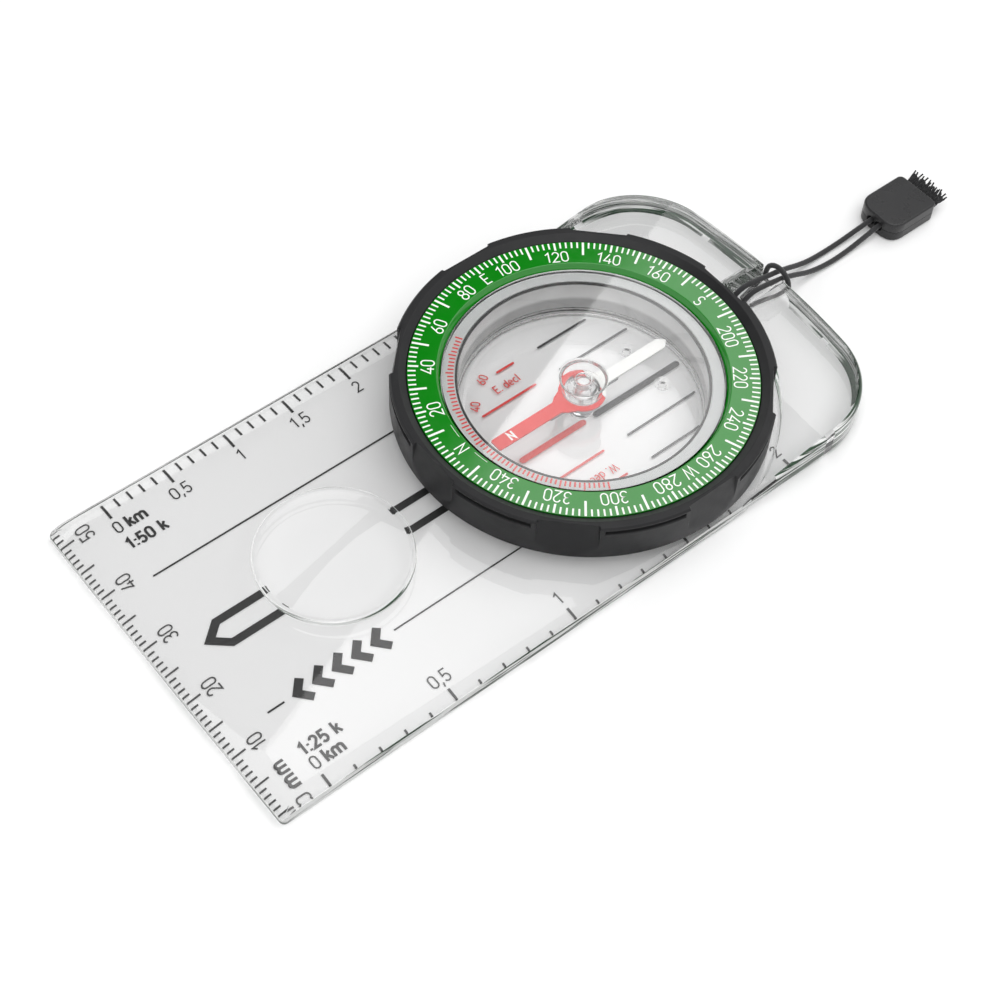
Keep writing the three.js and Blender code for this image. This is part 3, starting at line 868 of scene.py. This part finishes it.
# ---- capsule
def capsule(clear, clear_cover, soft, frosted, backing):
    base = rounded([(0, 0.3), (19.2, 0.3), (19.2, 1.2), (19.9, 1.2), (19.9, 7.4), (17.6, 7.4),
                    (17.6, 0.9), (1.8, 0.9), (1.5, 2.0), (0.62, 2.0), (0.62, 1.1), (0, 1.1)],
                   [0, 0.2, 0.15, 0.2, 0.15, 0.1, 1.3, 0.3, 0.15, 0.12, 0.1, 0], 8, closed=False)
    obj = bare_object("capsule_body", lathe(base, closed=False))
    plug = [(0, -1), (0.62, -1), (0.62, 2.0), (0, 2.0)]
    boolean(obj, [bare_object("bore", lathe(plug, HOUSING_Y + 12.2, x, 48)) for x in (-3.9, 3.9)])
    cover_with(obj, clear, backing)
    # The capsule's outer wall takes the pale backing, with painted shade low down.
    repaint(obj, lambda x, y, z, _: hypot(x, y - HOUSING_Y) > 19.85 and 1.3 < z < 7.3)
    shade(obj)
    finish_piece(obj, "housing", "capsule_base")

    cover = rounded([(0, 8.75), (19.85, 8.75), (19.85, 7.95), (3.3, 7.95), (3.1, 6.9),
                     (1.15, 6.9), (1.15, 7.6), (0, 7.6)],
                    [0, 0.14, 0.05, 0.35, 0.25, 0.2, 0.15, 0], 5, closed=False)
    window = to_object("capsule_window", lathe(cover, closed=False), [clear_cover, soft])
    repaint(window, lambda x, y, z, _: hypot(x, y - HOUSING_Y) < 3.2 and z < 7.9)
    finish_piece(window, "housing", "capsule_cover")

    ring = rounded([(18.05, 7.5), (19.7, 7.5), (19.7, 7.85), (18.05, 7.85)], 0.06, 3)
    turned("declination_scale_ring", lathe(ring), frosted, "housing", "declination_ring")


FLOOR_INK = (0.34, 0.36)


def capsule_print(black, red):
    """Meridian lines on the capsule's floor, and the declination scale on its ring."""
    dark, rosy = Body(), Body()
    rows = [(1.93, 1.0, 0.9, 17.3, -0.6, -12.6), (7.5, 0.38, 2.4, 15.5, -1.9, -11.8),
            (12.55, 0.38, 2.5, 11.8, -1.9, -5.2)]
    for x, width, d0, d1, r0, r1 in rows:
        for side in (-1, 1):
            bar(dark, side * x, d0, d1, width)
            bar(rosy, side * x, r1, r0, width)
    words = [("E. decl", -9.4, -7.5, (0, 1), 0.0), ("W. decl", 10.0, -2.3, (0, -1), 0.0),
             ("40", -9.1, -10.9, (-0.75, 0.66), 0.5), ("60", -12.2, -7.2, (-0.5, 0.87), 0.5),
             ("40", 9.1, -10.9, (-0.75, -0.66), 0.5), ("60", 12.2, -7.2, (-0.5, -0.87), 0.5)]
    for text, x, y, reading, align in words:
        write(rosy, text, (x, HOUSING_Y + y), reading, 1.45, 0.12, FLOOR_INK, align)
    for bearing in range(-60, 61, 2):
        outer = 19.25 if bearing % 10 == 0 else 19.0
        stroke(rosy, [dial_point(18.15, bearing), dial_point(outer, bearing)], 0.24, (7.84, 7.87))
    for name, body, mat in (("dark", dark, black), ("red", rosy, red)):
        obj = to_object("meridian_lines_" + name, body, [mat])
        finish_piece(obj, "housing")


def bar(body, x, d0, d1, width):
    """A printed bar along the meridian with rounded ends."""
    r = width / 2
    y0, y1 = HOUSING_Y + min(d0, d1), HOUSING_Y + max(d0, d1)
    plan = arc(x, y0 + r, r, r, 180, 360, 8) + arc(x, y1 - r, r, r, 0, 180, 8)
    loops([[(px, py, z) for px, py in plan] for z in FLOOR_INK], body)


def small_turned(grey, plug_clear, steel, jewel_white, milk):
    """Seal, retaining ring, plugs, pin, jewel and hub: each a turned part with broken edges."""
    seal = rounded([(17.65, 7.5), (17.95, 7.5), (17.95, 7.85), (17.65, 7.85)], 0.14, 4)
    turned("capsule_gasket", lathe(seal), grey, "housing", "capsule_seal")
    ring = rounded([(19.5, 0.3), (21.1, 0.3), (21.2, 0.5), (21.2, 0.9), (19.5, 0.9)], 0.08, 3)
    rings = []
    gap = asin(1.2 / 20.3)
    for k in range(241):
        a = -pi / 2 + gap + (2 * pi - 2 * gap) * k / 240
        rings.append([(r * cos(a), HOUSING_Y + r * sin(a), z) for r, z in ring])
    turned("snap_ring", loops(rings), grey, "housing", "retaining_ring")
    for x, name in ((-3.9, "fill_plug"), (3.9, "vent_plug")):
        plug = rounded([(0, 0.3), (0.6, 0.3), (0.6, 1.2), (1.3, 1.2), (1.2, 1.5), (0, 1.5)],
                       [0, 0.08, 0.03, 0.1, 0.12, 0], 4, closed=False)
        body = lathe(plug, HOUSING_Y + 12.2, x, 64, False)
        turned(name + "_turned", body, plug_clear, "housing", name)
    pin = [(0, 1.4), (0.3, 1.4), (0.3, 4.9), (0.22, 5.3), (0.06, 5.66), (0, 5.7)]
    turned("pivot_point", lathe(pin, segments=48, closed=False), steel, "housing", "pivot_pin")
    jewel = rounded([(0, 6.6), (0.8, 6.6), (0.95, 6.4), (0.95, 5.2), (0.64, 5.2), (0.34, 5.85),
                     (0, 6.05)], [0, 0.15, 0.1, 0.06, 0.05, 0.1, 0], 4, closed=False)
    cup = lathe(jewel, segments=64, closed=False)
    turned("jewel_cup", cup, jewel_white, "needle", "needle_jewel")
    hub = rounded([(1.25, 4.2), (1.95, 4.2), (1.95, 5.1), (2.9, 5.1), (2.9, 5.5), (1.9, 6.0),
                   (1.25, 6.0)], [0.08, 0.1, 0.05, 0.12, 0.15, 0.2, 0.15], 4)
    turned("needle_cap", lathe(hub, segments=128), milk, "needle", "needle_hub")


# ---- needle
def needle(red, white, magnet):
    body = Body()
    w, n, s, split = 1.05, 15.7, 15.8, 1.9
    ring_out, ring_in = 3.4, 2.3
    a_low = degrees(asin(min(1, split / ring_out)))
    a_in = degrees(asin(split / ring_in))
    north = [(-w, -n + 0.2), (-w + 0.2, -n), (w - 0.2, -n), (w, -n + 0.2), (w, -4.6), (1.6, -3.9)]
    north += arc(0, 0, ring_out, ring_out, -50, a_low, 20)
    north += arc(0, 0, ring_in, ring_in, a_in, -180 - a_in, 36)
    north += arc(0, 0, ring_out, ring_out, 180 - a_low, 230, 20)
    north += [(-1.6, -3.9), (-w, -4.6)]
    south = arc(0, 0, ring_in, ring_in, 180 - a_in - 2, a_in + 2, 16)
    south += arc(0, 0, ring_out, ring_out, a_low + 1, 72, 10)
    south += [(0.95, 4.0), (0.95, s - 0.95), (0.1, s), (-0.1, s), (-0.95, s - 0.95), (-0.95, 4.0)]
    south += arc(0, 0, ring_out, ring_out, 108, 179 - a_low, 10)
    for plan, slot in ((north, 0), (south, 1)):
        plan = [(x, y + HOUSING_Y) for x, y in plan]
        area = sum(plan[i - 1][0] * p[1] - p[0] * plan[i - 1][1] for i, p in enumerate(plan))
        plan = plan if area > 0 else plan[::-1]
        solid = block(plan, 4.5, 4.8, 0.05)
        body.add(solid.verts, solid.faces, slot)
    obj = to_object("needle_pointer", body, [red, white])
    finish_piece(obj, "needle", "needle_blade")
    letter = Body()
    write(letter, "N", (-0.78, HOUSING_Y - 12.9), (0, -1), 1.55, 0.2, (4.79, 4.815))
    finish_piece(to_object("needle_letter", letter, [white]), "needle")
    magnet_body = Body()
    for side in (-1, 1):
        plan = [(-0.8, 2.35), (0.8, 2.35), (0.8, 6.2), (-0.8, 6.2)][::side]
        plan = rounded([(x, side * y + HOUSING_Y) for x, y in plan], 0.1, 3)
        block(plan, 3.6, 4.2, 0.06, magnet_body)
    eye = rounded([(2.3, 3.6), (3.1, 3.6), (3.1, 4.2), (2.3, 4.2)], 0.08, 3)
    lathe(eye, segments=96, body=magnet_body)
    finish_piece(to_object("magnet_bar", magnet_body, [magnet]), "needle", "needle_magnet")


# ---- lanyard
CORD_HALF = [
    (-0.8, 79.3, 1.7), (-0.8, 76.9, 1.66), (-0.9, 73.6, 1.2), (-1.0, 70.2, 0.66),
    (-1.05, 66.6, 0.48), (-1.0, 63.4, 0.78), (-0.95, 60.8, 1.5), (-0.85, 58.4, 2.5),
    (-0.75, 56.2, 3.35), (-0.7, 54.2, 3.85), (-0.72, 51.6, 4.45), (-0.78, 49.4, 4.75),
    (-0.84, 47.9, 4.35), (-0.86, 47.0, 3.4), (-0.84, 46.75, 2.3), (-0.82, 46.95, 1.35),
    (-0.88, 47.6, 0.72), (-1.05, 48.5, 0.52), (-1.6, 50.9, 0.52), (-2.15, 53.2, 0.52),
    (-2.32, 54.5, 0.76), (-2.36, 55.12, 1.35), (-2.38, 55.34, 2.1), (-2.36, 55.36, 2.7),
    (-2.05, 55.38, 3.85), (-1.2, 55.4, 4.72),
]
CORD_D = 0.8


def catmull(points, per_span=12):
    """Centripetal Catmull-Rom through the points."""
    pts = [Vector(p) for p in points]
    pts = [pts[0] * 2 - pts[1], *pts, pts[-1] * 2 - pts[-2]]
    out = []
    for i in range(1, len(pts) - 2):
        p0, p1, p2, p3 = pts[i - 1:i + 3]
        t1 = sqrt((p1 - p0).length)
        t2 = t1 + sqrt((p2 - p1).length)
        t3 = t2 + sqrt((p3 - p2).length)
        for k in range(per_span):
            t = t1 + (t2 - t1) * k / per_span
            a1 = p0 * ((t1 - t) / t1) + p1 * (t / t1)
            a2 = p1 * ((t2 - t) / (t2 - t1)) + p2 * ((t - t1) / (t2 - t1))
            a3 = p2 * ((t3 - t) / (t3 - t2)) + p3 * ((t - t2) / (t3 - t2))
            b1 = a1 * ((t2 - t) / t2) + a2 * (t / t2)
            b2 = a2 * ((t3 - t) / (t3 - t1)) + a3 * ((t - t1) / (t3 - t1))
            out.append(b1 * ((t2 - t) / (t2 - t1)) + b2 * ((t - t1) / (t2 - t1)))
    out.append(pts[-2])
    return out


def even(points, step):
    """The same line with points an equal step apart."""
    out, left = [points[0]], step
    for a, b in zip(points, points[1:]):
        span = (b - a).length
        at = left
        while at <= span:
            out.append(a + (b - a) * (at / span))
            at += step
        left = at - span
    if (out[-1] - points[-1]).length > step * 0.3:
        out.append(points[-1])
    return out


def frames(line):
    """A steady pair of cross directions along a line."""
    tangents = []
    for i in range(len(line)):
        a, b = line[max(0, i - 1)], line[min(len(line) - 1, i + 1)]
        tangents.append((b - a).normalized())
    side = tangents[0].orthogonal().normalized()
    out = []
    for t in tangents:
        side = (side - t * side.dot(t)).normalized()
        out.append((side, t.cross(side)))
    return out


def braided_tube(line, radius, sides=20, pitch=1.5, relief=0.07):
    """A round cord whose braid stands out as crossing rows of small lobes."""
    rings, along = [], 0.0
    for i, (p, (u, v)) in enumerate(zip(line, frames(line))):
        along += (p - line[i - 1]).length if i else 0.0
        phase = 2 * pi * along / pitch
        ring = []
        for k in range(sides):
            a = 2 * pi * k / sides
            lobe = abs(sin(2 * a + phase)) * abs(sin(2 * a - phase))
            r = radius * (1 - relief + relief * 1.6 * min(1.0, lobe + 0.35))
            ring.append(tuple(p + (u * cos(a) + v * sin(a)) * min(r, radius * 1.02)))
        rings.append(ring)
    return loops(rings)


def cord_line():
    back = [(-x, y, z) for x, y, z in reversed(CORD_HALF)]
    return catmull([*CORD_HALF, (0, 55.4, 5.05), *back])


def lanyard_cord(yarn):
    line = cord_line()
    body = braided_tube(even(line, 0.12), CORD_D / 2)
    obj = to_object("lanyard_loop", body, [yarn], 60)
    obj.modifiers.clear()
    return finish_piece(obj, "plate", "lanyard_cord"), line


def joiner_plan():
    """A shield seen from above: blunt nose, straight sides, small rear corners."""
    w, y0, y1, nose, side = 3.9, 76.2, 85.7, 1.4, 2.6
    half = [(0.0, y0), (nose * 0.5, y0)]
    half += [curve((nose, y0), (w, y0 + 0.25), (w, y0 + side), k / 16) for k in range(17)]
    half += [(w, 81.0), (w, 83.0)] + arc(w - 0.9, y1 - 0.9, 0.9, 0.9, 0, 90, 10) + [(1.5, y1)]
    return half + [(0.0, y1)] + [(-x, y) for x, y in reversed(half[1:])]


def joiner(black):
    """The two shells that clamp cord and tape, with a fine parting line between them."""
    pieces = []
    for name, z0, z1, node in (("joiner_lower_shell", 0.0, 1.68, "joiner_base"),
                               ("joiner_upper_shell", 1.72, 3.4, "joiner_lid")):
        plan = joiner_plan()
        outer = z1 if z0 > 1 else z0
        inner = z0 if z0 > 1 else z1
        up = 1 if z0 > 1 else -1
        rings = []
        for d, h in ((0.05, 0.0), (0.01, 0.02), (0.0, 0.06)):
            rings.append([(x, y, inner + up * h) for x, y in inset(plan, d)])
        for k in range(7):
            a = pi / 2 * k / 6
            rings.append([(x, y, outer - up * 0.32 * (1 - sin(a)))
                          for x, y in inset(plan, 0.32 * (1 - cos(a)))])
        body = loops(rings)
        obj = bare_object(name, body)
        tools = []
        for x in (-0.8, 0.8):
            rings = []
            for y, r in ((75.2, 0.8), (76.2, 0.8), (76.5, 0.66), (76.7, 0.56), (80.1, 0.56)):
                rings.append([(x + r * cos(t), y, 1.7 + r * sin(t))
                              for t in (2 * pi * k / 32 for k in range(32))])
            tools.append(bare_object("bore", loops(rings)))
        slot = rounded([(-3.4, 81.6), (3.4, 81.6), (3.4, 91), (-3.4, 91)], 0.2, 2)
        rings = [[(x, y, z) for x, y in slot] for z in (1.05, 2.35)]
        tools.append(bare_object("slot", loops(rings)))
        boolean(obj, tools)
        obj.data.materials.append(black)
        shade(obj, 30)
        pieces.append(finish_piece(obj, "plate", node))
    return pieces


def thread(body, line, wide, thick):
    """One yarn of the tape, a flattened eight-sided tube."""
    rings = []
    for p, (u, v) in zip(line, frames(line)):
        rings.append([tuple(p + u * wide * cos(a) + v * thick * sin(a))
                      for a in (2 * pi * k / 8 for k in range(8))])
    loops(rings, body)


def ribbon(yarn):
    """Woven tape: warp ends and weft picks pass over and under, and the cut end is frayed."""
    body = Body()
    ends, pick, half, y0, woven = 17, 0.42, 3.0, 82.0, 87.3
    for i in range(ends):
        x = -half + 2 * half * i / (ends - 1)
        for strand in range(6):
            seed = 6 * i + strand
            y_end = woven + 0.95 + 0.45 * sin(seed * 2.4) * cos(seed * 1.3 + 0.4)
            line, y = [], y0
            while y < y_end:
                wave = 0.13 * cos(pi * (y - y0) / pick + pi * i)
                loose = max(0.0, y - woven + 0.5)
                drift = 0.26 * loose * sin(seed * 5.1) + 0.05 * (strand - 2.5)
                lift = loose * (0.42 + 0.45 * sin(seed * 3.3)) + 0.07 * (strand % 3)
                line.append(Vector((x + drift, y, 1.7 + wave * (1 - min(1, loose)) + lift)))
                y += 0.1
            thread(body, line, 0.13, 0.13)
    for j in range(int((woven - y0) / pick)):
        y = y0 + pick * (j + 0.5)
        line = []
        for k in range(91):
            x = -half - 0.1 + (2 * half + 0.2) * k / 90
            wave = 0.14 * cos(pi * (x + half) / (2 * half / (ends - 1)) + pi * (j + 1))
            line.append(Vector((x, y, 1.7 + wave)))
        thread(body, line, 0.19, 0.16)
    obj = to_object("lanyard_tape", body, [yarn], 60)
    obj.modifiers.clear()
    return finish_piece(obj, "plate", "lanyard_ribbon")


# ---- studio
def overhead_softbox(radiance):
    """One wide box above. Its straight side makes the edge of the glare on level faces."""
    height, near, far, half = 1.2, -0.43, 1.0, 1.25
    turn = radians(20.7)
    across = Vector((cos(turn), sin(turn), 0))
    data = bpy.data.lights.new("overhead_softbox", "AREA")
    data.shape = "RECTANGLE"
    data.size, data.size_y = far - near, 2 * half
    data.energy = radiance * pi * data.size * data.size_y
    lamp = place("overhead_softbox", data)
    lamp.matrix_world = (Matrix.Translation(across * (near + far) / 2 + Vector((0, 0, height)))
                         @ Matrix.Rotation(turn, 4, "Z"))


def studio():
    look = Look("studio_floor")
    look.colour(3.0, (0.90, 0.90, 0.90), (0.92, 0.92, 0.92))
    look.set(Roughness=0.9, Specular_IOR_Level=0.0)
    bm = bmesh.new()
    bmesh.ops.create_grid(bm, x_segments=8, y_segments=8, size=6.0)
    mesh = bpy.data.meshes.new("floor")
    bm.to_mesh(mesh)
    bm.free()
    mesh.materials.append(look.mat)
    floor = place("floor", mesh)
    floor.location = (0, 0, -0.00005)

    world = bpy.data.worlds.new("studio")
    bpy.context.scene.world = world
    world.use_nodes = True
    nodes, links = world.node_tree.nodes, world.node_tree.links
    coord = nodes.new("ShaderNodeTexCoord")
    split = nodes.new("ShaderNodeSeparateXYZ")
    links.new(coord.outputs["Generated"], split.inputs["Vector"])
    band = nodes.new("ShaderNodeMapRange")
    band.interpolation_type = "SMOOTHSTEP"
    fill(band, From_Min=0.48, From_Max=0.68, To_Min=1.0, To_Max=0.04)
    links.new(split.outputs["Z"], band.inputs["Value"])
    links.new(band.outputs["Result"], nodes["Background"].inputs["Strength"])
    fill(nodes["Background"], Color=(1, 1, 1, 1))

    overhead_softbox(2.1)
    view = bpy.context.scene.view_settings
    view.view_transform, view.look = "Standard", "None"
    view.exposure, view.gamma = 0.0, 1.0


# ---- assembly
def build():
    make_camera()
    yarn = textile("cord_yarn", (0.008, 0.008, 0.009), (0.034, 0.034, 0.036), 5000.0)
    cord, line = lanyard_cord(yarn)
    black = plastic("bezel_black", (0.009, 0.009, 0.010), (0.015, 0.015, 0.016), (0.34, 0.46),
                    specular=0.27)
    shells = joiner(plastic("joiner_black", (0.013, 0.013, 0.014), (0.019, 0.019, 0.020),
                            (0.26, 0.32), specular=0.4))
    tape = ribbon(textile("tape_yarn", (0.005, 0.005, 0.006), (0.020, 0.020, 0.021), 4000.0))

    clear = clear_plastic("plate_clear", 0.885)
    baseplate(clear, edge_plastic())
    # The grey ink is a painted reflection: black print lightened where glare lies on the plate.
    plate_print(ink("print_black", (0.012, 0.012, 0.012)), ink("print_painted_reflection", (0.05, 0.05, 0.05)))
    # The second bezel material is a darker black: painted shade in the land grooves.
    bezel_ring(black, plastic("groove_painted_shade", (0.005, 0.005, 0.005), (0.009, 0.009, 0.010),
                              specular=0.18))
    dial_ring(plastic("dial_green", (0.001, 0.19, 0.003), (0.002, 0.215, 0.005), (0.08, 0.12),
                      1200.0, 0.02, 0.00001, 0.75))
    dial_print(ink("print_white", (0.82, 0.84, 0.80)))
    red = ink("print_red", (0.62, 0.03, 0.025))
    capsule(clear_plastic("capsule_clear", 0.95), clear_plastic("window_clear", 0.95, 0.02),
            clear_plastic("boss_matt", 0.95, ior=1.35, matt=0.22), frosted_plastic("ring_frosted"),
            wall_backing())
    capsule_print(ink("print_charcoal", (0.03, 0.03, 0.032)), red)
    grey = plastic("rubber_grey", (0.03, 0.03, 0.03), (0.05, 0.05, 0.05), (0.6, 0.8))
    plug_clear = clear_plastic("plug_clear", 0.97, ior=1.14)
    steel = metal("pivot_steel", (0.7, 0.7, 0.7))
    jewel_white = plastic("jewel_white", (0.7, 0.7, 0.7), (0.8, 0.8, 0.8), (0.05, 0.1), 900.0, 0.02)
    milk = clear_plastic("hub_clear", 0.95, ior=1.3, matt=0.25)
    small_turned(grey, plug_clear, steel, jewel_white, milk)
    satin = ((0.25, 0.35), 1500.0, 0.06)
    needle(plastic("needle_red", (0.62, 0.012, 0.01), (0.75, 0.02, 0.016), *satin),
           plastic("needle_white", (0.82, 0.82, 0.80), (0.88, 0.88, 0.86), *satin),
           metal("magnet_steel", (0.35, 0.35, 0.36)))
    spring = bpy.data.objects.get("friction_spring")
    for slot in spring.material_slots:
        slot.material = steel
    studio()


build()
